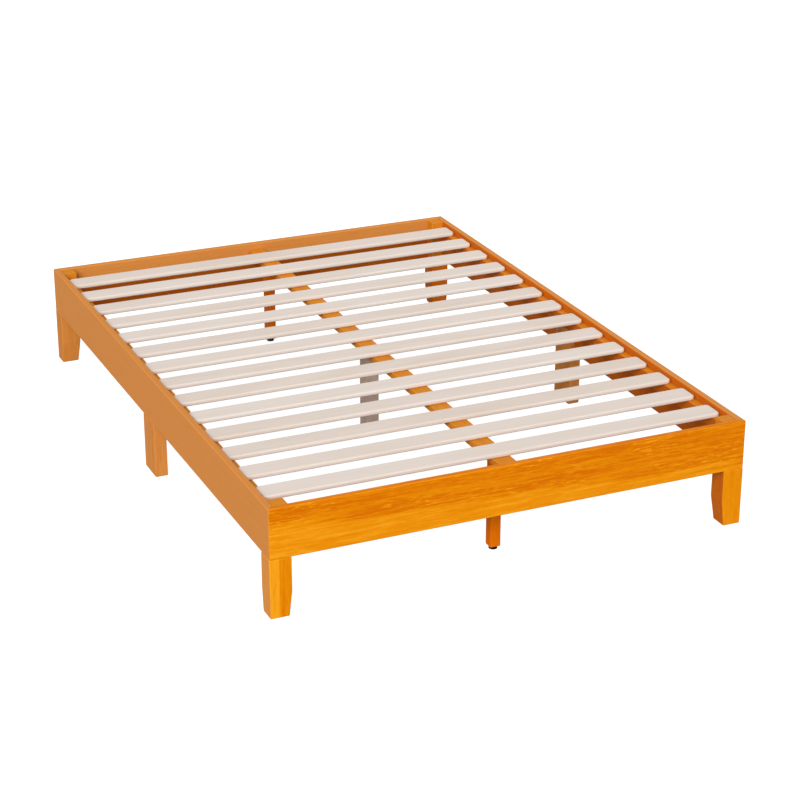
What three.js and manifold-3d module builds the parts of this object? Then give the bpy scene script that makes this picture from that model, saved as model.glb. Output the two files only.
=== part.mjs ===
// Low wooden platform bed frame, in millimetres.
// X runs across the bed, Y from the foot end to the head end, Z up.
// The origin is on the floor under the middle of the frame.

import * as THREE from 'three';
import { mergeVertices } from 'three/addons/utils/BufferGeometryUtils.js';
import Module from 'manifold-3d';

const wasm = await Module();
wasm.setup();

// Overall sizes
const bedWidth = 1375;
const bedLength = 1950;
const bedHeight = 305;

// Gap left between two pieces that rest against each other
const restGap = 0.3;

// Rails: four boards, mitred at the corners
const railThickness = 19;
const railHeight = 140;
const railEdgeRadius = 2.5;

// Slats, evenly spaced between the two end rails
const slatCount = 14;
const slatWidth = 68;
const slatThickness = 13.5;
const slatRecess = 8.5;
const slatEndClearance = 4;
const slatToEndRail = 74;
const slatEdgeRadius = 5;

// Ledges that carry the slat ends
const ledgeWidth = 24;
const ledgeHeight = 36;
const ledgeEdgeRadius = 1.5;

// Centre beam: a flat board under the slats, and the steel angles that hold its ends
const beamWidth = 52;
const beamThickness = 19;
const beamEdgeRadius = 1.5;
const angleThickness = 2.5;
const angleWidth = 40;
const angleArm = 30;
const angleHoleRadius = 2.6;
const angleHoleSpacing = 24;

// Corner blocks inside the rails, and the tapered corner legs under them, flush with them inside
const blockRecess = 1.5;
const legTopSize = 60;
const legTaper = 8;
const legTaperHeight = 70;

// Middle legs of the side rails: boards rebated to stand under and behind the rail
const sideLegLength = 95;
const sideLegDepth = 37;

// Legs on the centre line
const endPostSize = 30;
const endPostInset = 136;
const endPostLift = 9.5;
const middlePostWidth = 40;
const middlePostLength = 50;

// Levelling feet under the end posts: a base that stands still and a screw that turns in it
const footBaseRadius = 12;
const footBaseHeight = 6;
const footBaseFlare = 2;
const footSocketDepth = 3.5;
const footScrewRadius = 4;
const footScrewLength = 39;
const footScrewRise = 4;

// Fasteners
const boltRadius = 3;
const boltHeadRadius = 5;
const boltHeadHeight = 6;
const boltHexSocketRadius = 2.9;
const boltHexSocketDepth = 3;
const boltGrip = 12;
const boltRecessDepth = 8;
const studRadius = 4;
const studInLeg = 35;
const studInBlock = 38;
const studInBeam = 13;
const holeClearance = 0.3;
const endBoltLevel = 258;
const sideBoltLevel = 228;
const sideLegBoltLevel = 222;
const sideLegBoltSpacing = 50;

// Round pieces are polygons with this many sides
const roundSides = 20;
const arcSegments = 3;

// Sizes that follow from the ones above
const halfWidth = bedWidth / 2;
const halfLength = bedLength / 2;
const railBottom = bedHeight - railHeight;
const deckTop = bedHeight - slatRecess;
const supportTop = deckTop - slatThickness - restGap;
const slatLength = bedWidth - 2 * (railThickness + slatEndClearance);
const firstSlat = halfLength - railThickness - slatToEndRail - slatWidth / 2;
const slatPitch = (2 * firstSlat) / (slatCount - 1);
const beamBottom = supportTop - beamThickness;
const postTop = beamBottom - restGap;
const legTop = railBottom - restGap;
const legFootSize = legTopSize - legTaper;
const endPostY = halfLength - endPostInset;
const blockSize = legTopSize - railThickness - restGap;
const blockTop = bedHeight - blockRecess;
const blockInner = railThickness + restGap + blockSize;
const blockMiddle = railThickness + restGap + blockSize / 2;
const studInset = (railThickness + legTopSize) / 2;

const stainedWood = new THREE.MeshStandardMaterial({ color: 0xd9820f, roughness: 0.5, metalness: 0 });
const slatWood = new THREE.MeshStandardMaterial({ color: 0xe5d8cc, roughness: 0.75, metalness: 0 });
const greyWood = new THREE.MeshStandardMaterial({ color: 0x9d9086, roughness: 0.7, metalness: 0 });
const zincSteel = new THREE.MeshStandardMaterial({ color: 0xb9bcc0, roughness: 0.35, metalness: 1 });
const blackSteel = new THREE.MeshStandardMaterial({ color: 0x1f1f20, roughness: 0.5, metalness: 1 });
const blackPlastic = new THREE.MeshStandardMaterial({ color: 0x151515, roughness: 0.55, metalness: 0 });

const bed = new THREE.Group();

// ---- Shapes ----

const alongX = new THREE.Matrix4().makeBasis(
  new THREE.Vector3(0, 1, 0), new THREE.Vector3(0, 0, 1), new THREE.Vector3(1, 0, 0));
const alongY = new THREE.Matrix4().makeBasis(
  new THREE.Vector3(0, 0, 1), new THREE.Vector3(1, 0, 0), new THREE.Vector3(0, 1, 0));
const alongZ = new THREE.Matrix4();

// A shape in (Y, Z), (Z, X) or (X, Y), extruded along X, Y or Z and centred on that axis
function extrude(shape, length, direction) {
  const geometry = new THREE.ExtrudeGeometry(shape, {
    depth: length, bevelEnabled: false, curveSegments: arcSegments,
  });
  return geometry.translate(0, 0, -length / 2).applyMatrix4(direction);
}

function polygon(points) {
  return new THREE.Shape(points.map(([u, v]) => new THREE.Vector2(u, v)));
}

// Rectangle centred on the origin with rounded corners
function easedRectangle(width, height, radius) {
  const u = width / 2 - radius;
  const v = height / 2 - radius;
  const shape = new THREE.Shape();
  shape.absarc(u, v, radius, 0, Math.PI / 2, false);
  shape.absarc(-u, v, radius, Math.PI / 2, Math.PI, false);
  shape.absarc(-u, -v, radius, Math.PI, 1.5 * Math.PI, false);
  shape.absarc(u, -v, radius, 1.5 * Math.PI, 2 * Math.PI, false);
  shape.closePath();
  return shape;
}

// Cylinder centred at a point with its axis along X, Y or Z
function rod(radius, length, axis, [x, y, z]) {
  const geometry = new THREE.CylinderGeometry(radius, radius, length, roundSides);
  if (axis === 'x') geometry.rotateZ(Math.PI / 2);
  if (axis === 'z') geometry.rotateX(Math.PI / 2);
  return geometry.translate(x, y, z);
}

function solid(geometry) {
  const bare = geometry.clone();
  bare.deleteAttribute('normal');
  bare.deleteAttribute('uv');
  const welded = mergeVertices(bare);
  return new wasm.Manifold(new wasm.Mesh({
    numProp: 3,
    vertProperties: Float32Array.from(welded.attributes.position.array),
    triVerts: Uint32Array.from(welded.index.array),
  }));
}

function surface(body) {
  const { vertProperties, triVerts } = body.getMesh();
  const geometry = new THREE.BufferGeometry();
  geometry.setAttribute('position', new THREE.BufferAttribute(vertProperties, 3));
  geometry.setIndex(new THREE.BufferAttribute(triVerts, 1));
  geometry.computeVertexNormals();
  return geometry;
}

function drilled(geometry, tools) {
  return surface(tools.reduce((body, tool) => body.subtract(solid(tool)), solid(geometry)));
}

function addPiece(name, geometry, material, [x, y, z]) {
  const mesh = new THREE.Mesh(geometry, material);
  mesh.name = name;
  mesh.position.set(x, y, z);
  bed.add(mesh);
}

// ---- The four corners and the two sides ----

const corners = [
  { name: 'front_left', sx: -1, sy: -1 },
  { name: 'front_right', sx: 1, sy: -1 },
  { name: 'back_left', sx: -1, sy: 1 },
  { name: 'back_right', sx: 1, sy: 1 },
];
const sides = [
  { name: 'left', sx: -1 },
  { name: 'right', sx: 1 },
];
const ends = [
  { name: 'foot', place: 'front', sy: -1 },
  { name: 'head', place: 'back', sy: 1 },
];

// ---- Rails ----

// Blind hole for the end of a bolt, from a rail's inner face outwards
function gripHole(axis, inward, across, level) {
  const depth = boltGrip + restGap + 1;
  const centre = inward * (depth / 2 - restGap - 1 + railThickness / 2 - boltGrip);
  const point = axis === 'x' ? [centre, across, level] : [across, centre, level];
  return rod(boltRadius + holeClearance, depth, axis, point);
}

// Everything inside the two mitre cuts of a rail that is `length` long outside
function mitreEnvelope(length, inward) {
  const outside = length / 2 - restGap / 2;
  const margin = railEdgeRadius;
  const face = railThickness / 2;
  return [
    [-outside - margin, -inward * (face + margin)],
    [outside + margin, -inward * (face + margin)],
    [outside - railThickness - margin, inward * (face + margin)],
    [-outside + railThickness + margin, inward * (face + margin)],
  ];
}

function addEndRail({ name, place, sy }) {
  const inward = -sy;
  const board = extrude(easedRectangle(railThickness, railHeight, railEdgeRadius), bedWidth, alongX);
  const envelope = extrude(polygon(mitreEnvelope(bedWidth, inward)), 2 * railHeight, alongZ);
  const boltAcross = halfWidth - blockMiddle;
  const holes = [-1, 1].map((sx) =>
    gripHole('y', inward, sx * boltAcross, endBoltLevel - railBottom - railHeight / 2));
  const mitred = surface(solid(board).intersect(solid(envelope)));
  addPiece(`${name}_rail`, drilled(mitred, holes), stainedWood,
    [0, sy * (halfLength - railThickness / 2), railBottom + railHeight / 2]);
}

function addSideRail({ name, sx }) {
  const inward = -sx;
  const board = extrude(easedRectangle(railHeight, railThickness, railEdgeRadius), bedLength, alongY);
  const plan = mitreEnvelope(bedLength, inward).map(([along, across]) => [across, along]);
  const envelope = extrude(polygon(plan), 2 * railHeight, alongZ);
  const cornerAcross = halfLength - blockMiddle;
  const level = railBottom + railHeight / 2;
  const holes = [-1, 1].flatMap((sy) => [
    gripHole('x', inward, sy * cornerAcross, sideBoltLevel - level),
    gripHole('x', inward, sy * sideLegBoltSpacing / 2, sideLegBoltLevel - level),
  ]);
  const mitred = surface(solid(board).intersect(solid(envelope)));
  addPiece(`${name}_side_rail`, drilled(mitred, holes), stainedWood,
    [sx * (halfWidth - railThickness / 2), 0, level]);
}

// ---- Corner blocks, legs and their fasteners ----

// Point a given distance in from the outer faces of a corner
function fromCorner({ sx, sy }, inX, inY, z) {
  return [sx * (halfWidth - inX), sy * (halfLength - inY), z];
}

function addCornerBlock(corner) {
  const { name, sx, sy } = corner;
  const height = blockTop - railBottom;
  const centre = fromCorner(corner, blockMiddle, blockMiddle, railBottom + height / 2);
  const local = ([x, y, z]) => [x - centre[0], y - centre[1], z - centre[2]];
  const through = blockSize + 2;
  const pocket = boltRecessDepth + 1;
  const pocketCentre = blockInner - boltRecessDepth + pocket / 2;
  const shankRadius = boltRadius + holeClearance;
  const headRadius = boltHeadRadius + holeClearance;
  const studDepth = studInBlock + 2;
  const tools = [
    rod(shankRadius, through, 'x', [0, 0, sideBoltLevel - centre[2]]),
    rod(shankRadius, through, 'y', [0, 0, endBoltLevel - centre[2]]),
    rod(headRadius, pocket, 'x', local(fromCorner(corner, pocketCentre, blockMiddle, sideBoltLevel))),
    rod(headRadius, pocket, 'y', local(fromCorner(corner, blockMiddle, pocketCentre, endBoltLevel))),
    rod(studRadius + holeClearance, studDepth, 'z',
      local(fromCorner(corner, studInset, studInset, railBottom - 1 + studDepth / 2))),
  ];
  const block = new THREE.BoxGeometry(blockSize, blockSize, height);
  addPiece(`${name}_corner_block`, drilled(block, tools), stainedWood, centre);
  addBolt(`${name}_side_bolt`, 'x', -sx, sy * (halfLength - blockMiddle), sideBoltLevel,
    halfWidth - railThickness + boltGrip - 0.5, blockInner - boltRecessDepth);
  addBolt(`${name}_end_bolt`, 'y', -sy, sx * (halfWidth - blockMiddle), endBoltLevel,
    halfLength - railThickness + boltGrip - 0.5, blockInner - boltRecessDepth);
}

// Hex-socket bolt from its tip in a rail to its head; headInset is where the head starts, from outside
function addBolt(name, axis, inward, across, level, tip, headInset) {
  const half = axis === 'x' ? halfWidth : halfLength;
  const headStart = half - headInset - restGap;
  const shank = tip - headStart;
  const profile = [
    [0, 0],
    [boltRadius, 0],
    [boltRadius, shank],
    [boltHeadRadius, shank],
    [boltHeadRadius, shank + boltHeadHeight],
    [0, shank + boltHeadHeight],
  ].map(([r, h]) => new THREE.Vector2(r, h));
  const turned = new THREE.LatheGeometry(profile, roundSides);
  const hexSocket = new THREE.CylinderGeometry(
    boltHexSocketRadius, boltHexSocketRadius, 2 * boltHexSocketDepth, 6);
  hexSocket.translate(0, shank + boltHeadHeight, 0);
  const bolt = drilled(turned, [hexSocket]);
  if (axis === 'x') bolt.rotateZ(-inward * Math.PI / 2);
  else if (inward < 0) bolt.rotateZ(Math.PI);
  const start = -inward * tip;
  addPiece(name, bolt, zincSteel, axis === 'x' ? [start, across, level] : [across, start, level]);
}

function addStud(name, [x, y], bottom, top) {
  const length = top - bottom;
  addPiece(name, rod(studRadius, length, 'z', [0, 0, 0]), zincSteel, [x, y, bottom + length / 2]);
}

// The two inner faces lean in towards the outer corner over the lower part of the leg
function addCornerLeg(corner) {
  const { name, sx, sy } = corner;
  const outline = [
    [0, 0],
    [legFootSize, 0],
    [legTopSize, legTaperHeight],
    [legTopSize, legTop],
    [0, legTop],
  ];
  const acrossX = polygon(outline.map(([inset, z]) => [z, -sx * inset]));
  const acrossY = polygon(outline.map(([inset, z]) => [-sy * inset, z]));
  const span = 3 * legTopSize;
  const body = solid(extrude(acrossX, span, alongY)).intersect(solid(extrude(acrossY, span, alongX)));
  const depth = studInLeg + 2;
  const hole = rod(studRadius + holeClearance, depth, 'z',
    [-sx * studInset, -sy * studInset, legTop + 1 - depth / 2]);
  addPiece(`${name}_leg`, drilled(surface(body), [hole]), stainedWood, fromCorner(corner, 0, 0, 0));
  const [x, y] = fromCorner(corner, studInset, studInset, 0);
  addStud(`${name}_leg_stud`, [x, y], legTop - studInLeg, railBottom + studInBlock);
}

// ---- Side ledges and middle legs of the side rails ----

function addLedge({ name, sx }) {
  const length = bedLength - 2 * (blockInner + restGap);
  const ledge = extrude(easedRectangle(ledgeHeight, ledgeWidth, ledgeEdgeRadius), length, alongY);
  addPiece(`${name}_ledge`, ledge, stainedWood,
    [sx * (halfWidth - railThickness - restGap - ledgeWidth / 2), 0, supportTop - ledgeHeight / 2]);
}

function addSideLeg({ name, sx }) {
  const tongueTop = supportTop - ledgeHeight - restGap;
  const tongueFace = railThickness + restGap;
  const outline = [
    [0, 0],
    [0, legTop],
    [tongueFace, legTop],
    [tongueFace, tongueTop],
    [sideLegDepth, tongueTop],
    [sideLegDepth, 0],
  ];
  const board = extrude(polygon(outline.map(([inset, z]) => [z, -sx * inset])), sideLegLength, alongY);
  const boltOffsets = [-1, 1].map((sy) => sy * sideLegBoltSpacing / 2);
  const holes = boltOffsets.map((y) =>
    rod(boltRadius + holeClearance, sideLegDepth, 'x', [-sx * sideLegDepth, y, sideLegBoltLevel]));
  addPiece(`${name}_side_leg`, drilled(board, holes), stainedWood, [sx * halfWidth, 0, 0]);
  boltOffsets.forEach((y, index) => {
    addBolt(`${name}_side_leg_${ends[index].place}_bolt`, 'x', -sx, y, sideLegBoltLevel,
      halfWidth - railThickness + boltGrip - 0.5, sideLegDepth);
  });
}

// ---- Centre beam, its steel angles and its posts ----

function addBeam() {
  const length = bedLength - 2 * (railThickness + restGap);
  const board = extrude(easedRectangle(beamThickness, beamWidth, beamEdgeRadius), length, alongY);
  const depth = studInBeam + 2;
  const holes = [-endPostY, 0, endPostY].map((y) =>
    rod(studRadius + holeClearance, depth, 'z', [0, y, -beamThickness / 2 - 1 + depth / 2]));
  addPiece('centre_beam', drilled(board, holes), stainedWood, [0, 0, beamBottom + beamThickness / 2]);
}

function addBeamAngle({ name, sy }) {
  const face = sy * (halfLength - railThickness - restGap);
  const inward = -sy;
  const outline = [
    [0, 0],
    [inward * angleArm, 0],
    [inward * angleArm, -angleThickness],
    [inward * angleThickness, -angleThickness],
    [inward * angleThickness, -angleArm],
    [0, -angleArm],
  ];
  const angle = extrude(polygon(outline), angleWidth, alongX);
  const holes = [-1, 1].map((side) =>
    rod(angleHoleRadius, 3 * angleThickness, 'y',
      [side * angleHoleSpacing / 2, inward * angleThickness / 2, -angleArm * 0.6]));
  addPiece(`${name}_beam_angle`, drilled(angle, holes), blackSteel, [0, face, beamBottom - restGap]);
}

function addEndPost({ place, sy }) {
  const height = postTop - endPostLift;
  const post = new THREE.BoxGeometry(endPostSize, endPostSize, height);
  const studDepth = studInLeg + 2;
  const bore = footScrewLength + footScrewRise;
  const tools = [
    rod(studRadius + holeClearance, studDepth, 'z', [0, 0, height / 2 + 1 - studDepth / 2]),
    rod(footScrewRadius + holeClearance, bore, 'z', [0, 0, -height / 2 - 1 + bore / 2]),
  ];
  addPiece(`${place}_centre_leg`, drilled(post, tools), stainedWood,
    [0, sy * endPostY, endPostLift + height / 2]);
  addStud(`${place}_centre_leg_stud`, [0, sy * endPostY], postTop - studInLeg, beamBottom + studInBeam);
}

function addMiddlePost() {
  const post = new THREE.BoxGeometry(middlePostWidth, middlePostLength, postTop);
  const studDepth = studInLeg + 2;
  const hole = rod(studRadius + holeClearance, studDepth, 'z', [0, 0, postTop / 2 + 1 - studDepth / 2]);
  addPiece('middle_centre_leg', drilled(post, [hole]), greyWood, [0, 0, postTop / 2]);
  addStud('middle_centre_leg_stud', [0, 0], postTop - studInLeg, beamBottom + studInBeam);
}

function addLevellingFoot({ place, sy }) {
  const socketRadius = footScrewRadius + holeClearance;
  const socketFloor = footBaseHeight - footSocketDepth;
  const profile = [
    [0, 0],
    [footBaseRadius - 1, 0],
    [footBaseRadius, 1],
    [footBaseRadius, footBaseHeight / 2],
    [footBaseRadius - footBaseFlare, footBaseHeight],
    [socketRadius, footBaseHeight],
    [socketRadius, socketFloor],
    [0, socketFloor],
  ].map(([r, h]) => new THREE.Vector2(r, h));
  const base = new THREE.LatheGeometry(profile, roundSides).rotateX(Math.PI / 2);
  addPiece(`${place}_foot_base`, base, blackPlastic, [0, sy * endPostY, 0]);
  const bottom = socketFloor + restGap;
  const screw = rod(footScrewRadius, footScrewLength, 'z', [0, 0, 0]);
  addPiece(`${place}_foot_screw`, screw, blackSteel, [0, sy * endPostY, bottom + footScrewLength / 2]);
}

// ---- Slats, numbered from the foot end ----

function addSlats() {
  const section = easedRectangle(slatWidth, slatThickness, slatEdgeRadius);
  for (let index = 0; index < slatCount; index += 1) {
    const name = `slat_${String(index + 1).padStart(2, '0')}`;
    const y = -firstSlat + index * slatPitch;
    addPiece(name, extrude(section, slatLength, alongX), slatWood, [0, y, deckTop - slatThickness / 2]);
  }
}

ends.forEach((end) => {
  addEndRail(end);
  addBeamAngle(end);
  addEndPost(end);
  addLevellingFoot(end);
});
sides.forEach((side) => {
  addSideRail(side);
  addLedge(side);
  addSideLeg(side);
});
corners.forEach((corner) => {
  addCornerBlock(corner);
  addCornerLeg(corner);
});
addBeam();
addMiddlePost();
addSlats();

export default bed;
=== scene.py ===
import math

import bmesh
import bpy
from mathutils import Matrix, Vector


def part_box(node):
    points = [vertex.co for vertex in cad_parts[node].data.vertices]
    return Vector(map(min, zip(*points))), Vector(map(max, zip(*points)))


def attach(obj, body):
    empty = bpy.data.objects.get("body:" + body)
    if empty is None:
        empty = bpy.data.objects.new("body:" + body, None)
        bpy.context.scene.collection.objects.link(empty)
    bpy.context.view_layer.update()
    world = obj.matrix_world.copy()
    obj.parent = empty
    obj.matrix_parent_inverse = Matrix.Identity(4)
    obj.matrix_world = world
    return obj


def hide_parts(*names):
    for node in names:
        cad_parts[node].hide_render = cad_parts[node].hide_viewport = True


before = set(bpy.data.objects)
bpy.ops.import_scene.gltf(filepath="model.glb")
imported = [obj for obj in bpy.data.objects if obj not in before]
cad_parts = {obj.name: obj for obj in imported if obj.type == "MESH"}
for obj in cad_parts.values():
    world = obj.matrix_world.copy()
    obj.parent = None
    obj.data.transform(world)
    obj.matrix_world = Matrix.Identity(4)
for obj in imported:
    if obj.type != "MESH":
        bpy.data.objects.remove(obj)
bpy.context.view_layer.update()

scene = bpy.context.scene
scene.view_settings.view_transform = "Standard"

MM = 0.001
FIT_GAP = 0.3 * MM
BOARD_EASE = 1.5 * MM
THREAD_PITCH = 1.25 * MM


def corners_of(node):
    """Lowest and highest corner of a node, as vectors."""
    low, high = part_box(node)
    return Vector(low), Vector(high)


# ---- Camera, floor and light ----


def set_camera():
    """A long lens from the left of the foot end, a little above the deck."""
    azimuth, elevation, roll = (math.radians(angle) for angle in (23.991, 22.821, 0.099))
    ahead = Vector((
        math.sin(azimuth) * math.cos(elevation),
        math.cos(azimuth) * math.cos(elevation),
        -math.sin(elevation),
    ))
    right = ahead.cross(Vector((0, 0, 1))).normalized()
    up = right.cross(ahead)
    turned_right = math.cos(roll) * right + math.sin(roll) * up
    turned_up = math.cos(roll) * up - math.sin(roll) * right
    data = bpy.data.cameras.new("camera")
    data.sensor_width = 36.0
    data.lens = 96.81
    data.clip_end = 100.0
    camera = bpy.data.objects.new("camera", data)
    camera.matrix_world = Matrix.Translation((-2.3272, -5.4545, 2.6018)) @ Matrix(
        (turned_right, turned_up, -ahead)).transposed().to_4x4()
    scene.collection.objects.link(camera)
    scene.camera = camera


def area_light(name, place, target, size, power):
    data = bpy.data.lights.new(name, "AREA")
    data.shape = "DISK"
    data.size = size
    data.energy = power
    lamp = bpy.data.objects.new(name, data)
    lamp.location = place
    lamp.rotation_euler = (Vector(target) - Vector(place)).to_track_quat("-Z", "Y").to_euler()
    scene.collection.objects.link(lamp)


def set_stage():
    """A pale floor that reaches past every view, an even sky and two soft lamps."""
    mesh = bpy.data.meshes.new("floor")
    reach = 60.0
    mesh.from_pydata(
        [(-reach, -reach, 0), (reach, -reach, 0), (reach, reach, 0), (-reach, reach, 0)], [], [(0, 1, 2, 3)])
    floor = bpy.data.objects.new("floor", mesh)
    scene.collection.objects.link(floor)
    finish = Finish("pale floor", roughness=0.9, specular=0.0)
    finish.set("Base Color", (0.45, 0.45, 0.45, 1.0))
    finish.set("Emission Color", (1.0, 1.0, 1.0, 1.0))
    direct = Value(finish, finish.node("ShaderNodeLightPath").outputs["Is Camera Ray"])
    finish.set("Emission Strength", direct * 0.85)
    mesh.materials.append(finish.material)
    world = bpy.data.worlds.new("even sky")
    world.use_nodes = True
    sky = world.node_tree.nodes["Background"]
    sky.inputs["Color"].default_value = (1.0, 1.0, 1.0, 1.0)
    sky.inputs["Strength"].default_value = 0.5
    scene.world = world
    area_light("key lamp", (-21.4, -27.2, 20.2), (0, 0, 0.2), 24.0, 14000)
    area_light("fill lamp", (2.6, 3.4, 3.4), (0, 0, 0.2), 3.0, 30)


# ---- Shader building ----


class Value:
    """A number socket that can be used in Python arithmetic."""

    def __init__(self, finish, socket):
        self.finish = finish
        self.socket = socket

    def math(self, operation, *values):
        made = self.finish.node("ShaderNodeMath", {"operation": operation}, dict(enumerate(values)))
        return Value(self.finish, made.outputs[0])

    def __add__(self, other):
        return self.math("ADD", self, other)

    def __radd__(self, other):
        return self.math("ADD", other, self)

    def __sub__(self, other):
        return self.math("SUBTRACT", self, other)

    def __rsub__(self, other):
        return self.math("SUBTRACT", other, self)

    def __mul__(self, other):
        return self.math("MULTIPLY", self, other)

    def __rmul__(self, other):
        return self.math("MULTIPLY", other, self)

    def __pow__(self, other):
        return self.math("POWER", self, other)

    def __abs__(self):
        return self.math("ABSOLUTE", self)

    def low(self, other):
        return self.math("MINIMUM", self, other)

    def high(self, other):
        return self.math("MAXIMUM", self, other)

    def root(self):
        return self.math("SQRT", self)

    def wave(self):
        return self.math("SINE", self)

    def ramp(self, start, end):
        """0 below start, 1 above end, and smooth between them."""
        made = self.finish.node(
            "ShaderNodeMapRange", {"interpolation_type": "SMOOTHSTEP"},
            {"Value": self, "From Min": start, "From Max": end})
        return Value(self.finish, made.outputs["Result"])


class Finish:
    """One material: a Principled surface and the nodes that feed it."""

    def __init__(self, name, roughness=0.5, specular=0.3, metallic=0.0):
        self.material = bpy.data.materials.new(name)
        self.material.use_nodes = True
        self.tree = self.material.node_tree
        self.surface = self.tree.nodes["Principled BSDF"]
        self.set("Roughness", roughness)
        self.set("Specular IOR Level", specular)
        self.set("Metallic", metallic)

    def node(self, kind, settings=None, inputs=None):
        """A node with its settings made first, then its sockets filled or linked."""
        made = self.tree.nodes.new(kind)
        for key, value in (settings or {}).items():
            if key == "stops":
                self.set_stops(made.color_ramp, value)
            else:
                setattr(made, key, value)
        for key, value in (inputs or {}).items():
            self.feed(made.inputs[key], value)
        return made

    def set_stops(self, ramp, stops):
        while len(ramp.elements) < len(stops):
            ramp.elements.new(0.5)
        for element, (place, colour) in zip(ramp.elements, stops):
            element.position = place
            element.color = (*colour, 1.0)

    def feed(self, socket, value):
        if isinstance(value, Value):
            self.tree.links.new(value.socket, socket)
        elif isinstance(value, bpy.types.NodeSocket):
            self.tree.links.new(value, socket)
        else:
            socket.default_value = value

    def set(self, key, value):
        self.feed(self.surface.inputs[key], value)

    def place(self, turn=(0, 0, 0), shift=(0, 0, 0)):
        """Object coordinates, turned and shifted."""
        coordinates = self.node("ShaderNodeTexCoord").outputs["Object"]
        return self.node(
            "ShaderNodeMapping", None, {"Vector": coordinates, "Rotation": turn, "Location": shift},
        ).outputs["Vector"]

    def facing(self, axis, sign):
        """1 on faces that look along one axis of the object, 0 on the others."""
        normal = self.node("ShaderNodeTexCoord").outputs["Normal"]
        return (self.parts(normal)["xyz".index(axis)] * sign).ramp(0.5, 0.85)

    def stretched(self, vector, stretch):
        return self.node(
            "ShaderNodeVectorMath", {"operation": "MULTIPLY"}, {0: vector, 1: stretch}).outputs[0]

    def shifted(self, vector, shift):
        return self.node(
            "ShaderNodeVectorMath", {"operation": "ADD"}, {0: vector, 1: shift}).outputs[0]

    def parts(self, vector):
        split = self.node("ShaderNodeSeparateXYZ", None, {0: vector})
        return [Value(self, split.outputs[axis]) for axis in range(3)]

    def join(self, x, y, z):
        return self.node("ShaderNodeCombineXYZ", None, {0: x, 1: y, 2: z}).outputs[0]

    def noise(self, vector, detail=2.0, roughness=0.5, distortion=0.0):
        """Smooth noise about 0.5, one lump to each unit of the vector."""
        made = self.node(
            "ShaderNodeTexNoise", None,
            {"Vector": vector, "Scale": 1.0, "Detail": detail, "Roughness": roughness,
             "Distortion": distortion})
        return Value(self, made.outputs["Fac"])

    def attribute(self, name):
        return Value(self, self.node("ShaderNodeAttribute", {"attribute_name": name}).outputs["Fac"])

    def blend(self, amount, first, second):
        """Mix of two colours."""
        made = self.node("ShaderNodeMix", {"data_type": "RGBA"}, {0: amount, 6: first, 7: second})
        return made.outputs[2]

    def colours(self, value, stops):
        return self.node("ShaderNodeValToRGB", {"stops": stops}, {0: value}).outputs["Color"]

    def bump(self, height, strength, distance):
        made = self.node(
            "ShaderNodeBump", None, {"Height": height, "Strength": strength, "Distance": distance})
        self.set("Normal", made.outputs["Normal"])


def rgb(red, green, blue):
    """Linear colour with alpha from screen values of 0 to 255."""
    values = []
    for part in (red, green, blue):
        share = part / 255.0
        values.append(share / 12.92 if share <= 0.04045 else ((share + 0.055) / 1.055) ** 2.4)
    return (*values, 1.0)


# ---- Wood ----

RING_SPACING = 8.5 * MM
WORN_WIDTH = 3.0 * MM
GRAIN_TURN = {
    "x": (0.0, 0.0, 0.0),
    "y": (0.0, 0.0, math.radians(-90.0)),
    "z": (0.0, math.radians(90.0), 0.0),
}


def edge_wear(finish, low, high, width):
    """1 on the edges of a box and 0 further than width from them."""
    centre = (low + high) / 2
    half = (high - low) / 2
    x, y, z = finish.parts(finish.place(shift=tuple(-centre)))
    a, b, c = abs(x) - half.x, abs(y) - half.y, abs(z) - half.z
    middle = a.low(b).high(a.high(b).low(c))
    return middle.ramp(-width, 0.0)


def grain(finish, spot):
    """Growth rings, pores and flame figure of a plain-sawn board that lies along local X."""
    x, y, z = finish.parts(spot)
    drift = finish.noise(finish.stretched(spot, (2.2, 14.0, 14.0)), detail=2.0)
    sway = finish.noise(finish.stretched(spot, (9.0, 50.0, 50.0)), detail=2.0)
    heart_y = y + (drift - 0.5) * 0.055 + (sway - 0.5) * 0.004
    heart_z = z + 0.055 + x * 0.028
    reach = (heart_y * heart_y + heart_z * heart_z).root()
    rings = ((reach * (math.tau / RING_SPACING)).wave() * 0.5 + 0.5) ** 1.6
    fine = finish.noise(finish.stretched(spot, (26.0, 700.0, 700.0)), detail=3.0, roughness=0.6)
    pores = finish.noise(finish.stretched(spot, (60.0, 1500.0, 1500.0)), detail=1.0).ramp(0.60, 0.74)
    streaks = finish.noise(finish.stretched(spot, (4.5, 85.0, 85.0)), detail=3.0, roughness=0.55)
    lines = finish.noise(finish.stretched(spot, (6.0, 260.0, 260.0)), detail=2.0, roughness=0.6)
    flecks = finish.noise(
        finish.stretched(spot, (36.0, 300.0, 300.0)), detail=3.0, roughness=0.6, distortion=0.6)
    return {
        "rings": rings,
        "fine": fine,
        "pores": pores,
        "streaks": streaks,
        "lines": lines,
        "flecks": flecks,
    }


def stain_colour(finish, tone, wood, figure, tones):
    """Stain colour for a tone of 0 to 1, from its light, middle and dark colours."""
    light, middle, dark = tones
    colour = finish.blend(tone.ramp(0.5, 0.05), middle, dark)
    colour = finish.blend(tone.ramp(0.48, 0.95), colour, light)
    return finish.blend(wood["pores"] * (0.28 * figure), colour, dark)


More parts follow.
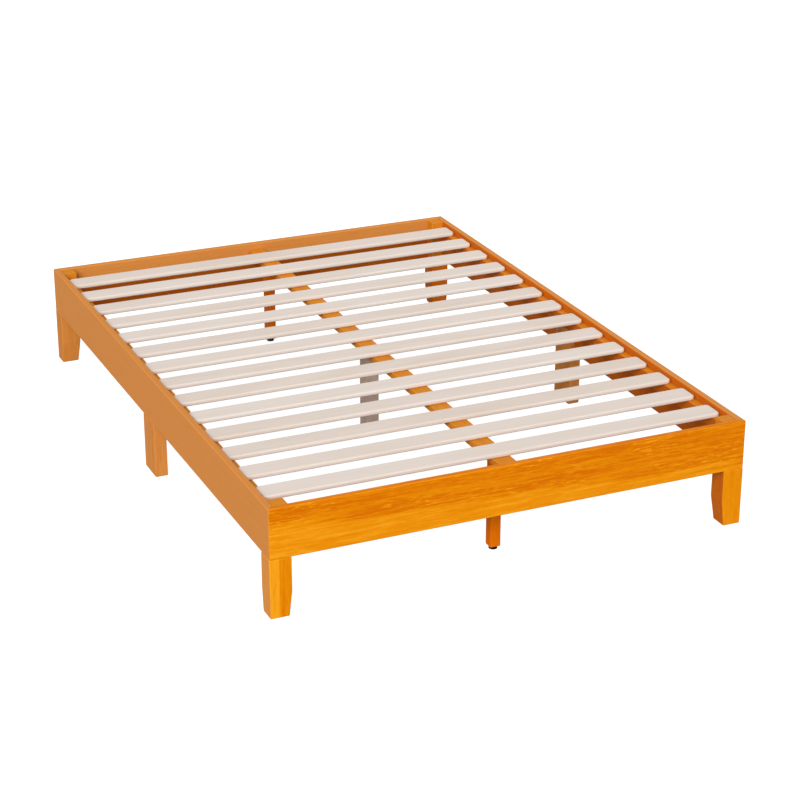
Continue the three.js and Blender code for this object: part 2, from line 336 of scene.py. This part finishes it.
def stained_wood(name, along, seed, tones, figure=1.0, box=None, band=None, side=None):
    """Golden stain over plain-sawn hardwood; figure sets how strongly the grain shows.

    band adds a tone of its own to the wood; side is (axis, sign, tones, top) for the faces
    that look along that axis, up to a level, which take other tones: painted shade on inner faces.
    """
    finish = Finish(name, specular=0.04)
    finish.set("Specular Tint", (1.0, 0.72, 0.42, 1.0))
    spot = finish.place(turn=GRAIN_TURN[along])
    spot = finish.shifted(spot, (seed * 1.37, seed * 0.213 % 0.06 - 0.03, seed * 0.371 % 0.05))
    wood = grain(finish, spot)
    tone = (
        0.5
        + (wood["streaks"] - 0.5) * (0.6 * figure)
        + (wood["lines"] - 0.5) * (0.7 * figure)
        + (wood["fine"] - 0.5) * (0.6 * figure)
        + (wood["rings"] - 0.4) * (0.1 * figure)
        + (wood["flecks"] - 0.5) * (0.7 * figure)
    )
    if band:
        tone = tone + band(finish, wood) * figure
    colour = stain_colour(finish, tone, wood, figure, tones)
    # The side tones replace the colour on the chosen faces below the given level; on inner faces they are
    # painted shade.
    if side:
        axis, sign, side_and_shade_tones, top = side
        level = finish.parts(finish.place())[2]
        amount = finish.facing(axis, sign) * level.ramp(top, top - 2 * MM)
        colour = finish.blend(amount, colour, stain_colour(finish, tone, wood, figure, side_and_shade_tones))
    if box:
        worn = edge_wear(finish, *box, WORN_WIDTH) * (wood["streaks"] * 0.5 + 0.1)
        colour = finish.blend(worn, colour, tones[0])
    finish.set("Base Color", colour)
    finish.set("Roughness", 0.46 + (wood["fine"] - 0.5) * 0.16 + wood["pores"] * 0.12)
    finish.bump(wood["fine"] * 0.5 + wood["rings"] * 0.3 - wood["pores"] * 0.6, 0.16, 0.4 * MM)
    return finish.material


def slat_wood():
    """Bare planed softwood, each slat with its own tone and its own stretch of grain."""
    finish = Finish("bare pale wood", specular=0.2)
    number = finish.attribute("slat_number")
    warmth = finish.attribute("slat_tone")
    shift = finish.join(number * 0.83, number * 0.031, number * 0.017)
    spot = finish.shifted(finish.place(), shift)
    wood = grain(finish, spot)
    broad = finish.noise(finish.stretched(spot, (3.0, 10.0, 10.0)), detail=1.0)
    tone = (
        0.5
        + (wood["streaks"] - 0.5) * 0.36
        + (wood["fine"] - 0.5) * 0.3
        + (wood["rings"] - 0.4) * 0.1
        + (broad - 0.5) * 0.45
        + (warmth - 0.5) * 0.25
    )
    colour = finish.colours(tone, [
        (0.15, rgb(218, 201, 185)[:3]),
        (0.45, rgb(227, 213, 202)[:3]),
        (0.75, rgb(232, 222, 213)[:3]),
    ])
    colour = finish.blend(broad.ramp(0.5, 0.75) * 0.4, colour, rgb(229, 212, 202))
    colour = finish.blend(wood["pores"] * 0.1, colour, rgb(196, 168, 144))
    finish.set("Base Color", colour)
    finish.set("Roughness", 0.66 + (wood["fine"] - 0.5) * 0.2)
    finish.bump(wood["fine"] * 0.6 + wood["rings"] * 0.3 - wood["pores"] * 0.3, 0.2, 0.35 * MM)
    return finish.material


# ---- Metal and plastic ----


def zinc_finish():
    """Zinc plate: faint blotches and fine scratches."""
    finish = Finish("zinc plate", specular=0.5, metallic=1.0)
    spot = finish.place()
    blotch = finish.noise(finish.stretched(spot, (90.0, 90.0, 90.0)), detail=3.0)
    scratch = finish.noise(finish.stretched(spot, (500.0, 500.0, 90.0)), detail=2.0)
    finish.set("Base Color", finish.blend(blotch, (0.55, 0.57, 0.60, 1.0), (0.74, 0.75, 0.77, 1.0)))
    finish.set("Roughness", 0.26 + blotch * 0.12 + scratch * 0.1)
    finish.bump(scratch, 0.06, 0.1 * MM)
    return finish.material


def black_finish():
    """Black oxide on steel, with the steel showing on the rubbed parts."""
    finish = Finish("black oxide", specular=0.4, metallic=1.0)
    rubbed = finish.noise(finish.stretched(finish.place(), (300.0, 300.0, 300.0)), detail=3.0)
    finish.set("Base Color", finish.blend(
        rubbed.ramp(0.55, 0.8), (0.02, 0.02, 0.021, 1.0), (0.16, 0.16, 0.17, 1.0)))
    finish.set("Roughness", 0.42 + rubbed * 0.15)
    return finish.material


def plastic_finish():
    """Moulded black plastic with a fine spark-eroded texture."""
    finish = Finish("moulded black plastic", specular=0.2)
    spot = finish.place()
    speckle = finish.noise(finish.stretched(spot, (1400.0, 1400.0, 1400.0)), detail=2.0)
    scuffs = finish.noise(finish.stretched(spot, (120.0, 120.0, 60.0)), detail=3.0).ramp(0.58, 0.8)
    finish.set("Base Color", finish.blend(
        scuffs * 0.6, (0.005, 0.005, 0.005, 1.0), (0.022, 0.022, 0.023, 1.0)))
    finish.set("Roughness", 0.48 + scuffs * 0.2)
    finish.bump(speckle, 0.15, 0.15 * MM)
    return finish.material


# ---- Mesh building ----


def mesh_object(name, bm, flat_area=2e-4):
    """An object made from a bmesh; faces smaller than flat_area are shaded smooth."""
    bmesh.ops.recalc_face_normals(bm, faces=bm.faces)
    for face in bm.faces:
        face.smooth = face.calc_area() < flat_area
    mesh = bpy.data.meshes.new(name)
    bm.to_mesh(mesh)
    bm.free()
    thing = bpy.data.objects.new(name, mesh)
    scene.collection.objects.link(thing)
    return thing


def adopt(piece, body, nodes):
    """The piece rides on a body and stands for its CAD nodes."""
    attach(piece, body)
    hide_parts(*nodes)


def new_piece(name, bm, material, body, nodes, flat_area=2e-4):
    """Turns a bmesh into a finished piece that stands for its CAD nodes."""
    piece = mesh_object(name, bm, flat_area)
    piece.data.materials.append(material)
    adopt(piece, body, nodes)


def angles_round(sides):
    return [math.tau * i / sides for i in range(sides)]


def skin(bm, rings):
    """Faces from each ring to the next, and a cap on both ends."""
    for lower, upper in zip(rings, rings[1:]):
        for i in range(len(lower)):
            j = (i + 1) % len(lower)
            bm.faces.new((lower[i], lower[j], upper[j], upper[i]))
    bm.faces.new(rings[0])
    bm.faces.new(rings[-1])


def ease_edges(bm, radius, segments=3):
    """Rounds every edge that isn't flat."""
    sharp = [e for e in bm.edges if len(e.link_faces) == 2 and e.calc_face_angle() > math.radians(8)]
    bmesh.ops.bevel(
        bm, geom=sharp, offset=radius, offset_type="OFFSET", segments=segments, profile=0.5,
        affect="EDGES", clamp_overlap=True)


def block_mesh(low, high, radius=BOARD_EASE):
    """A squared board or post with eased edges."""
    bm = bmesh.new()
    bmesh.ops.create_cube(bm, size=1.0)
    centre, size = (low + high) / 2, high - low
    for vertex in bm.verts:
        vertex.co = Vector([centre[i] + vertex.co[i] * size[i] for i in range(3)])
    ease_edges(bm, radius)
    return bm


def prism_mesh(outline, start, end, place):
    """Closed prism from an outline; place(u, v, w) gives the point for outline (u, v) at w."""
    bm = bmesh.new()
    rows = [[bm.verts.new(place(u, v, w)) for u, v in outline] for w in (start, end)]
    skin(bm, rows)
    return bm


def turned_mesh(profile, sides, place):
    """Closed turned solid; the profile is (radius, height) from pole to pole."""
    bm = bmesh.new()
    rings = []
    for radius, height in profile:
        if radius < 1e-7:
            rings.append([bm.verts.new(place(Vector((0, 0, height))))])
            continue
        rings.append([
            bm.verts.new(place(Vector((radius * math.cos(a), radius * math.sin(a), height))))
            for a in angles_round(sides)])
    for lower, upper in zip(rings, rings[1:]):
        for i in range(sides):
            j = (i + 1) % sides
            loop = [
                lower[i % len(lower)], lower[j % len(lower)], upper[j % len(upper)], upper[i % len(upper)]]
            unique = list(dict.fromkeys(loop))
            if len(unique) > 2:
                bm.faces.new(unique)
    return bm


def arc(centre, radius, start, end, steps):
    """Points of an arc in degrees, both ends included."""
    points = []
    for i in range(steps + 1):
        angle = math.radians(start + (end - start) * i / steps)
        points.append((centre[0] + radius * math.cos(angle), centre[1] + radius * math.sin(angle)))
    return points


# ---- Rails ----

CORNER_RADIUS = 4.0 * MM
RAIL_EASE = 2.6 * MM


def rail_mesh(node, along, outward):
    """A rail with eased edges, mitred ends and half of each rounded corner."""
    low, high = corners_of(node)
    across = 1 - along
    half = (high[along] - low[along] + FIT_GAP) / 2
    middle = (high[along] + low[along]) / 2
    thickness = high[across] - low[across]
    outer = high[across] if outward > 0 else low[across]
    ease, steps = RAIL_EASE, 4
    section = (
        arc((ease, high.z - ease), ease, 180, 90, steps)
        + arc((thickness - ease, high.z - ease), ease, 90, 0, steps)
        + arc((thickness - ease, low.z + ease), ease, 0, -90, steps)
        + arc((ease, low.z + ease), ease, 270, 180, steps)
    )
    bm = bmesh.new()
    rings = []
    for side, order in ((-1, range(steps, -1, -1)), (1, range(steps + 1))):
        for k in order:
            angle = math.radians(45.0 * k / steps)
            ring = []
            for depth, level in section:
                if depth < CORNER_RADIUS:
                    arm = CORNER_RADIUS - depth
                    run = half - CORNER_RADIUS + arm * math.sin(angle)
                    inset = CORNER_RADIUS - arm * math.cos(angle)
                else:
                    run = half - depth - (1 - k / steps) * 0.8 * CORNER_RADIUS
                    inset = depth
                point = Vector((0, 0, level))
                point[along] = middle + side * (run - 0.7 * FIT_GAP)
                point[across] = outer - outward * inset
                ring.append(bm.verts.new(point))
            rings.append(ring)
    skin(bm, rings)
    return bm


# Light, middle and dark tones of the stain and of the painted shade
GOLD = (rgb(246, 164, 30), rgb(232, 140, 6), rgb(214, 109, 2))
HONEY = (rgb(227, 154, 78), rgb(216, 139, 66), rgb(199, 117, 43))
DEEP_HONEY = (rgb(222, 148, 70), rgb(211, 133, 59), rgb(194, 112, 37))
WARM = (rgb(228, 150, 50), rgb(216, 134, 34), rgb(196, 110, 18))
# Painted shade: darker russet tones for the inner faces
SHADE_RUSSET = (rgb(214, 120, 30), rgb(200, 102, 20), rgb(170, 74, 8))
AMBER = (rgb(242, 134, 14), rgb(230, 115, 4), rgb(204, 88, 0))
# Grey post tones: a darker, greyer copy of the slat wood, partly painted shade under the deck
GREY_WITH_SHADE = (rgb(226, 208, 192), rgb(210, 189, 173), rgb(181, 159, 142))

# A level above the whole frame, for a side tone that covers its face to the top
WHOLE_FACE = 1.0


def heart_band(finish, wood):
    """Darker heartwood along the top of the foot rail, widening towards one end."""
    low, high = corners_of("foot_rail")
    x, y, z = finish.parts(finish.place())
    along = (x - low.x) * (1 / (high.x - low.x))
    down = (high.z - z) * (1 / (high.z - low.z))
    border = down - along * 0.47 - 0.38 + (wood["streaks"] - 0.5) * 0.5
    below = border.ramp(-0.1, 0.1)
    patches = finish.noise(finish.join(x * 5.0, y, z * 16.0), detail=1.0).ramp(0.42, 0.62)
    flecks = wood["flecks"].ramp(0.56, 0.68) * patches * 0.62
    return below * 0.36 - 0.24 + (1.0 - below) * flecks


def make_rails():
    # Painted shade: each rail's inner face takes the russet tones up to the level in the last column, the
    # whole face except on the head rail, where only the part below the deck is shaded.
    for node, along, outward, seed, tones, figure, band, shade_top in (
        ("foot_rail", "x", -1, 1.0, GOLD, 1.0, heart_band, WHOLE_FACE),
        ("head_rail", "x", 1, 2.0, HONEY, 0.6, None, 0.26),
        ("left_side_rail", "y", -1, 3.0, HONEY, 0.5, None, WHOLE_FACE),
        ("right_side_rail", "y", 1, 4.0, HONEY, 0.6, None, WHOLE_FACE),
    ):
        across = "y" if along == "x" else "x"
        material = stained_wood(
            node.replace("_", " ") + " stain", along, seed, tones, figure,
            box=corners_of(node), band=band, side=(across, -outward, SHADE_RUSSET, shade_top))
        new_piece(node.replace("_rail", "_rail_board"), rail_mesh(node, "xy".index(along), outward),
                  material, "frame", [node], 3e-4)


# ---- Legs, blocks, ledges and beam ----


LEG_TAPER = 8.0 * MM
LEG_TAPER_HEIGHT = 70.0 * MM


def corner_leg_mesh(node, outward_x, outward_y):
    """Square at the top, with the two inner faces leaning out to a smaller foot."""
    low, high = corners_of(node)
    levels = ((low.z, LEG_TAPER), (low.z + LEG_TAPER_HEIGHT, 0.0), (high.z, 0.0))
    bm = bmesh.new()
    rings = []
    for level, inset in levels:
        x0, x1 = (low.x, high.x - inset) if outward_x < 0 else (low.x + inset, high.x)
        y0, y1 = (low.y, high.y - inset) if outward_y < 0 else (low.y + inset, high.y)
        square = ((x0, y0), (x1, y0), (x1, y1), (x0, y1))
        rings.append([bm.verts.new((x, y, level)) for x, y in square])
    skin(bm, rings)
    bmesh.ops.recalc_face_normals(bm, faces=bm.faces)
    ease_edges(bm, 2.4 * MM, 4)
    return bm


def pale_strip(finish, wood):
    """A strip of paler sapwood down the outer part of the front left leg."""
    low, high = corners_of("front_left_leg")
    x, y, z = finish.parts(finish.place())
    across = (x - low.x) * (1 / (high.x - low.x)) + (wood["streaks"] - 0.5) * 0.12
    return across.ramp(0.46, 0.40) * 0.5 - 0.1


def make_corners():
    seed = 10.0
    for place, y_side in (("front", -1), ("back", 1)):
        for hand, x_side in (("left", -1), ("right", 1)):
            seed += 1.7
            node = f"{place}_{hand}_leg"
            tones = {"front": GOLD, "back": DEEP_HONEY if hand == "left" else AMBER}[place]
            # Painted shade on the right legs' inner faces (russet tones); the left legs' outer faces take
            # the deep honey tones.
            side = ("x", -1, DEEP_HONEY if hand == "left" else SHADE_RUSSET, WHOLE_FACE)
            material = stained_wood(
                f"{place} {hand} leg stain", "z", seed, tones, 0.9, box=corners_of(node),
                band=pale_strip if node == "front_left_leg" else None, side=side)
            new_piece(node + "_turned_out", corner_leg_mesh(node, x_side, y_side), material,
                      "frame", [node])
            block = f"{place}_{hand}_corner_block"
            material = stained_wood(f"{place} {hand} block stain", "z", seed + 0.6, WARM, 0.7)
            new_piece(block + "_eased", block_mesh(*corners_of(block), 1.6 * MM), material,
                      "frame", [block])


def side_leg_mesh(node, outward):
    """Board leg with a rebate under the rail and a tongue behind it."""
    low, high = corners_of(node)
    rail_low, rail_high = corners_of("left_side_rail" if outward < 0 else "right_side_rail")
    step = rail_high.x - rail_low.x + FIT_GAP
    shoulder = rail_low.z - FIT_GAP
    depth = high.x - low.x
    outer = low.x if outward < 0 else high.x
    outline = [
        (0.0, low.z), (0.0, shoulder), (step, shoulder), (step, high.z), (depth, high.z), (depth, low.z)]
    bm = prism_mesh(
        outline, low.y, high.y, lambda inset, level, y: Vector((outer - outward * inset, y, level)))
    bmesh.ops.recalc_face_normals(bm, faces=bm.faces)
    ease_edges(bm, 2.0 * MM)
    return bm


def make_side_supports():
    for hand, outward, seed in (("left", -1, 31.0), ("right", 1, 33.0)):
        leg = f"{hand}_side_leg"
        material = stained_wood(f"{hand} side leg stain", "z", seed, HONEY, 1.1)
        new_piece(leg + "_board", side_leg_mesh(leg, outward), material, "frame", [leg])
        ledge = f"{hand}_ledge"
        # Painted shade: the inner face of each ledge takes the russet tones.
        material = stained_wood(
            f"{hand} ledge stain", "y", seed + 1.0, WARM, 0.9, side=("x", -outward, SHADE_RUSSET, WHOLE_FACE))
        new_piece(ledge + "_strip", block_mesh(*corners_of(ledge)), material,
                  "frame", [ledge])


BORE_SIDES = 32
BORE_ROOM = 5.0 * MM


def bored_post_mesh(node, screw):
    """Square post with the bore in its foot that the levelling screw runs in."""
    low, high = corners_of(node)
    screw_low, screw_high = corners_of(screw)
    centre = (screw_low + screw_high) / 2
    bore = (screw_high.x - screw_low.x) / 2 + FIT_GAP
    bm = block_mesh(low, high)
    foot = min(bm.faces, key=lambda face: (face.calc_center_median().z, -face.calc_area()))
    rim = list(foot.edges)
    bmesh.ops.delete(bm, geom=[foot], context="FACES_ONLY")
    rings = []
    for level in (low.z, screw_high.z + BORE_ROOM):
        rings.append([
            bm.verts.new((centre.x + bore * math.cos(a), centre.y + bore * math.sin(a), level))
            for a in angles_round(BORE_SIDES)])
    lower, upper = rings
    for i in range(BORE_SIDES):
        j = (i + 1) % BORE_SIDES
        bm.faces.new((lower[i], lower[j], upper[j], upper[i]))
    bm.faces.new(upper)
    mouth = [bm.edges.get((lower[i], lower[(i + 1) % BORE_SIDES])) for i in range(BORE_SIDES)]
    bmesh.ops.triangle_fill(bm, edges=rim + mouth, use_beauty=True)
    bmesh.ops.recalc_face_normals(bm, faces=bm.faces)
    return bm


def make_centre_line():
    material = stained_wood("centre beam stain", "y", 41.0, WARM, 0.9)
    new_piece("centre_beam_board", block_mesh(*corners_of("centre_beam")), material,
              "frame", ["centre_beam"])
    for place, seed in (("front", 43.0), ("back", 45.0)):
        node = f"{place}_centre_leg"
        material = stained_wood(f"{place} centre leg stain", "z", seed, AMBER, 0.9)
        new_piece(node + "_post", bored_post_mesh(node, f"{place}_foot_screw"), material,
                  "frame", [node])
    # The grey post is a darker, greyer copy of the slat wood, partly painted shade under the deck.
    material = stained_wood("grey post wood with painted shade", "z", 47.0, GREY_WITH_SHADE, 0.8)
    new_piece("middle_centre_leg_post", block_mesh(*corners_of("middle_centre_leg")), material,
              "frame", ["middle_centre_leg"])


# ---- Geometry Nodes ----


class Repeat:
    """A Geometry Nodes tree with named inputs, run once on an object."""

    def __init__(self, name):
        self.tree = bpy.data.node_groups.new(name, "GeometryNodeTree")
        self.values = {}
        self.inlet = None
        self.socket("Geometry", "NodeSocketGeometry")
        self.tree.interface.new_socket("Geometry", in_out="OUTPUT", socket_type="NodeSocketGeometry")

    def socket(self, name, kind, value=None):
        made = self.tree.interface.new_socket(name, in_out="INPUT", socket_type=kind)
        if value is not None:
            self.values[made.identifier] = value

    def node(self, kind, settings=None, inputs=None):
        made = self.tree.nodes.new(kind)
        for key, value in (settings or {}).items():
            setattr(made, key, value)
        for key, value in (inputs or {}).items():
            if isinstance(value, bpy.types.NodeSocket):
                self.tree.links.new(value, made.inputs[key])
            else:
                made.inputs[key].default_value = value
        return made

    def given(self, name):
        if self.inlet is None:
            self.inlet = self.tree.nodes.new("NodeGroupInput")
        return self.inlet.outputs[name]

    def finish(self, geometry):
        """Realize Instances, Set Material and the output."""
        real = self.node("GeometryNodeRealizeInstances", None, {"Geometry": geometry}).outputs[0]
        coated = self.node(
            "GeometryNodeSetMaterial", None, {"Geometry": real, "Material": self.given("Material")})
        self.node("NodeGroupOutput", None, {0: coated.outputs[0]})

    def made_from(self, name, source):
        """A plain mesh object made by running the tree on a source object."""
        modifier = source.modifiers.new("repeat", "NODES")
        modifier.node_group = self.tree
        for identifier, value in self.values.items():
            modifier[identifier] = value
        depsgraph = bpy.context.evaluated_depsgraph_get()
        mesh = bpy.data.meshes.new_from_object(source.evaluated_get(depsgraph), depsgraph=depsgraph)
        mesh.name = name
        source.modifiers.remove(modifier)
        piece = bpy.data.objects.new(name, mesh)
        scene.collection.objects.link(piece)
        return piece


def discard(thing):
    """Deletes a source object once its tree has run."""
    mesh = thing.data
    bpy.data.objects.remove(thing)
    bpy.data.meshes.remove(mesh)


SLAT_CORNER = 12.0 * MM
SLAT_EASE = 5.0 * MM


def slat_mesh(length, width, thickness):
    """One slat about the origin: rounded ends in plan, eased long edges."""
    corner = SLAT_CORNER
    half_l, half_w = length / 2, width / 2
    outline = (
        arc((half_l - corner, half_w - corner), corner, 0, 90, 5)
        + arc((corner - half_l, half_w - corner), corner, 90, 180, 5)
        + arc((corner - half_l, corner - half_w), corner, 180, 270, 5)
        + arc((half_l - corner, corner - half_w), corner, 270, 360, 5)
    )
    bm = prism_mesh(outline, -thickness / 2, thickness / 2, lambda x, y, z: Vector((x, y, z)))
    bmesh.ops.recalc_face_normals(bm, faces=bm.faces)
    rims = [e for e in bm.edges if e.calc_face_angle() > math.radians(60)]
    bmesh.ops.bevel(
        bm, geom=rims, offset=SLAT_EASE, offset_type="OFFSET", segments=4, profile=0.5,
        affect="EDGES", clamp_overlap=True)
    return bm


def make_slats():
    """All slats in a row from the foot end, by one tree."""
    nodes = sorted(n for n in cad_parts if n.startswith("slat_"))
    low, high = corners_of(nodes[0])
    last_low, last_high = corners_of(nodes[-1])
    size, centre = high - low, (high + low) / 2
    pitch = ((last_low + last_high) / 2 - centre).y / (len(nodes) - 1)
    tree = Repeat("row of slats")
    tree.socket("Count", "NodeSocketInt", len(nodes))
    tree.socket("Pitch", "NodeSocketVector", (0.0, pitch, 0.0))
    tree.socket("First", "NodeSocketVector", tuple(centre))
    tree.socket("Seed", "NodeSocketInt", 7)
    tree.socket("Material", "NodeSocketMaterial", slat_wood())
    line = tree.node(
        "GeometryNodeMeshLine", {"mode": "OFFSET"},
        {"Count": tree.given("Count"), "Start Location": tree.given("First"), "Offset": tree.given("Pitch")})
    row = tree.node(
        "GeometryNodeInstanceOnPoints", None,
        {"Points": line.outputs["Mesh"], "Instance": tree.given("Geometry")})
    index = tree.node("GeometryNodeInputIndex").outputs[0]
    numbered = tree.node(
        "GeometryNodeStoreNamedAttribute", {"data_type": "FLOAT", "domain": "INSTANCE"},
        {"Geometry": row.outputs["Instances"], "Name": "slat_number", "Value": index})
    tone = tree.node(
        "FunctionNodeRandomValue", {"data_type": "FLOAT"}, {"Seed": tree.given("Seed")})
    toned = tree.node(
        "GeometryNodeStoreNamedAttribute", {"data_type": "FLOAT", "domain": "INSTANCE"},
        {"Geometry": numbered.outputs[0], "Name": "slat_tone", "Value": tone.outputs["Value"]})
    tree.finish(toned.outputs[0])
    helper = mesh_object("one slat", slat_mesh(size.x, size.y, size.z))
    piece = tree.made_from("slat_row", helper)
    discard(helper)
    adopt(piece, "frame", nodes)


BOLT_SIDES = 32
BOLT_SHANK = 3.0 * MM
BOLT_HEAD = 5.0 * MM
BOLT_HEAD_HEIGHT = 6.0 * MM
BOLT_PITCH = 1.0 * MM


def bolt_mesh(length):
    """Socket-cap bolt with its tip at the origin and its head up +Z: thread, chamfers, hex socket."""
    shank, head, top = BOLT_SHANK, BOLT_HEAD, length + BOLT_HEAD_HEIGHT
    bm = bmesh.new()
    profile = [(shank * 0.72, 0.0)]
    for i in range(int((length - 2 * MM) / BOLT_PITCH)):
        base = 0.6 * MM + i * BOLT_PITCH
        profile += [(shank * 0.84, base), (shank, base + 0.45 * BOLT_PITCH)]
    profile += [
        (shank * 0.84, length - 1.2 * MM),
        (shank, length),
        (head - 0.3 * MM, length),
        (head, length + 0.3 * MM),
        (head, top - 0.6 * MM),
        (head - 0.2 * MM, top - 0.2 * MM),
        (head - 0.6 * MM, top),
    ]
    angles = angles_round(BOLT_SIDES)
    rings = [
        [bm.verts.new((radius * math.cos(a), radius * math.sin(a), height)) for a in angles]
        for radius, height in profile]
    socket_reach, socket_depth = 2.5 * MM, 3.0 * MM
    for height in (top, top - socket_depth):
        ring = []
        for a in angles:
            sector = (a + math.pi / 6) % (math.pi / 3) - math.pi / 6
            reach = socket_reach / math.cos(sector)
            ring.append(bm.verts.new((reach * math.cos(a), reach * math.sin(a), height)))
        rings.append(ring)
    skin(bm, rings)
    return bm


def make_bolts():
    """Socket-cap bolts at every bolt node, one tree run for each length."""
    zinc = zinc_finish()
    groups = {}
    for node in sorted(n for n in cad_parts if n.endswith("_bolt")):
        low, high = corners_of(node)
        size, centre = high - low, (low + high) / 2
        axis = 0 if size.x > size.y else 1
        inward = -1 if centre[axis] > 0 else 1
        tip = Vector(centre)
        tip[axis] = low[axis] if inward > 0 else high[axis]
        aim = Vector((0, 0, 0))
        aim[axis] = inward
        groups.setdefault(round(size[axis], 5), []).append((node, tip, aim))
    for number, (length, members) in enumerate(sorted(groups.items())):
        tree = Repeat("bolts at their holes")
        tree.socket("Bolt", "NodeSocketObject")
        tree.socket("Material", "NodeSocketMaterial", zinc)
        bolt = mesh_object("one bolt", bolt_mesh(length - BOLT_HEAD_HEIGHT), 1e-6)
        tree.values[tree.tree.interface.items_tree["Bolt"].identifier] = bolt
        points = bpy.data.meshes.new("bolt places")
        points.from_pydata([tuple(tip) for node, tip, aim in members], [], [])
        aims = points.attributes.new("aim", "FLOAT_VECTOR", "POINT")
        for i, (node, tip, aim) in enumerate(members):
            aims.data[i].vector = aim
        places = bpy.data.objects.new("bolt places", points)
        scene.collection.objects.link(places)
        info = tree.node("GeometryNodeObjectInfo", None, {"Object": tree.given("Bolt")})
        aim = tree.node("GeometryNodeInputNamedAttribute", {"data_type": "FLOAT_VECTOR"}, {"Name": "aim"})
        turn = tree.node(
            "FunctionNodeAlignRotationToVector", {"axis": "Z"}, {"Vector": aim.outputs["Attribute"]})
        row = tree.node(
            "GeometryNodeInstanceOnPoints", None,
            {"Points": tree.given("Geometry"), "Instance": info.outputs["Geometry"],
             "Rotation": turn.outputs["Rotation"]})
        tree.finish(row.outputs["Instances"])
        piece = tree.made_from(f"socket_bolts_{number + 1}", places)
        discard(places)
        discard(bolt)
        adopt(piece, "frame", [node for node, tip, aim in members])
    return zinc


# ---- Beam angles and levelling feet ----


def make_angles(black):
    """Bent steel angles under the beam's ends, each with two pan-head screws."""
    for node, inward in (("foot_beam_angle", 1), ("head_beam_angle", -1)):
        low, high = corners_of(node)
        sheet, bend, screw_spread = 2.5 * MM, 3.0 * MM, 12.0 * MM
        face = low.y if inward > 0 else high.y
        reach, drop = high.y - low.y, high.z - low.z
        outline = (
            arc((bend + sheet, -bend - sheet), bend + sheet, 180, 90, 6)
            + [(reach, 0.0), (reach, -sheet)]
            + arc((bend + sheet, -bend - sheet), bend, 90, 180, 6)
            + [(sheet, -drop), (0.0, -drop)]
        )
        bm = prism_mesh(
            outline, low.x, high.x, lambda u, v, w: Vector((w, face + inward * u, high.z + v)))
        bmesh.ops.recalc_face_normals(bm, faces=bm.faces)
        ease_edges(bm, 0.5 * MM, 2)
        for side in (-1, 1):
            seat = Vector((side * screw_spread, face + inward * (sheet - 0.2 * MM), high.z - 0.6 * drop))
            profile = [
                (0.0, 0.0), (4.6 * MM, 0.0), (4.6 * MM, 0.8 * MM), (4.2 * MM, 1.6 * MM),
                (3.0 * MM, 2.3 * MM), (1.6 * MM, 2.6 * MM), (1.3 * MM, 1.4 * MM), (0.0, 1.4 * MM)]
            head = turned_mesh(
                profile, 24, lambda p, at=seat: at + Vector((p.x, inward * p.z, p.y)))
            spare = bpy.data.meshes.new("screw head")
            head.to_mesh(spare)
            head.free()
            bm.from_mesh(spare)
            bpy.data.meshes.remove(spare)
        new_piece(node + "_bent", bm, black, "frame", [node], 1e-4)


def thread_mesh(centre, low_z, high_z, radius, pitch):
    """Threaded rod with a true helix, closed at both ends."""
    sides = 28
    rows = int((high_z - low_z) / pitch * 6)
    bm = bmesh.new()
    rings = []
    for row in range(rows + 1):
        level = low_z + (high_z - low_z) * row / rows
        ease = min(1.0, (level - low_z) / pitch, (high_z - level) / pitch)
        ring = []
        for i in range(sides):
            turn = i / sides
            phase = (level / pitch - turn) % 1.0
            crest = 1 - abs(2 * phase - 1)
            reach = radius * (0.86 + 0.14 * crest * ease)
            a = math.tau * turn
            ring.append(bm.verts.new(
                (centre.x + reach * math.cos(a), centre.y + reach * math.sin(a), level)))
        rings.append(ring)
    skin(bm, rings)
    return bm


def make_feet(black):
    """Moulded bases with a socket, and the threaded screws that turn in them."""
    plastic = plastic_finish()
    for place in ("front", "back"):
        base, screw = f"{place}_foot_base", f"{place}_foot_screw"
        screw_low, screw_high = corners_of(screw)
        low, high = corners_of(base)
        centre = Vector(((low.x + high.x) / 2, (low.y + high.y) / 2, low.z))
        radius, height = (high.x - low.x) / 2, high.z - low.z
        floor = screw_low.z - low.z - FIT_GAP
        profile = (
            [(0.0, 0.0), (radius - 3.2 * MM, 0.0), (radius - 2.6 * MM, 0.2 * MM)]
            + arc((radius - 1.2 * MM, 1.4 * MM), 1.2 * MM, -80, 0, 4)
            + [(radius, height * 0.5), (radius - 0.3 * MM, height * 0.56)]
            + arc((radius - 3.4 * MM, height - 1.5 * MM), 1.5 * MM, 20, 90, 4)
            + [(4.9 * MM, height), (4.4 * MM, height - 0.4 * MM), (4.3 * MM, floor), (0.0, floor)]
        )
        new_piece(base + "_moulded", turned_mesh(profile, 48, lambda p: p + centre), plastic,
                  base, [base], 1e-4)
        centre, reach = (screw_low + screw_high) / 2, (screw_high.x - screw_low.x) / 2
        rod = thread_mesh(centre, screw_low.z, screw_high.z, reach, THREAD_PITCH)
        new_piece(screw + "_threaded", rod, black, screw, [screw], 1e-4)


def coat_hidden_studs(zinc):
    """The studs keep their CAD mesh and take the zinc finish."""
    for name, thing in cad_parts.items():
        if name.endswith("_stud"):
            thing.data.materials.clear()
            thing.data.materials.append(zinc)


set_camera()
set_stage()
make_rails()
make_corners()
make_side_supports()
make_centre_line()
make_slats()
zinc_plate = make_bolts()
black_oxide = black_finish()
make_angles(black_oxide)
make_feet(black_oxide)
coat_hidden_studs(zinc_plate)
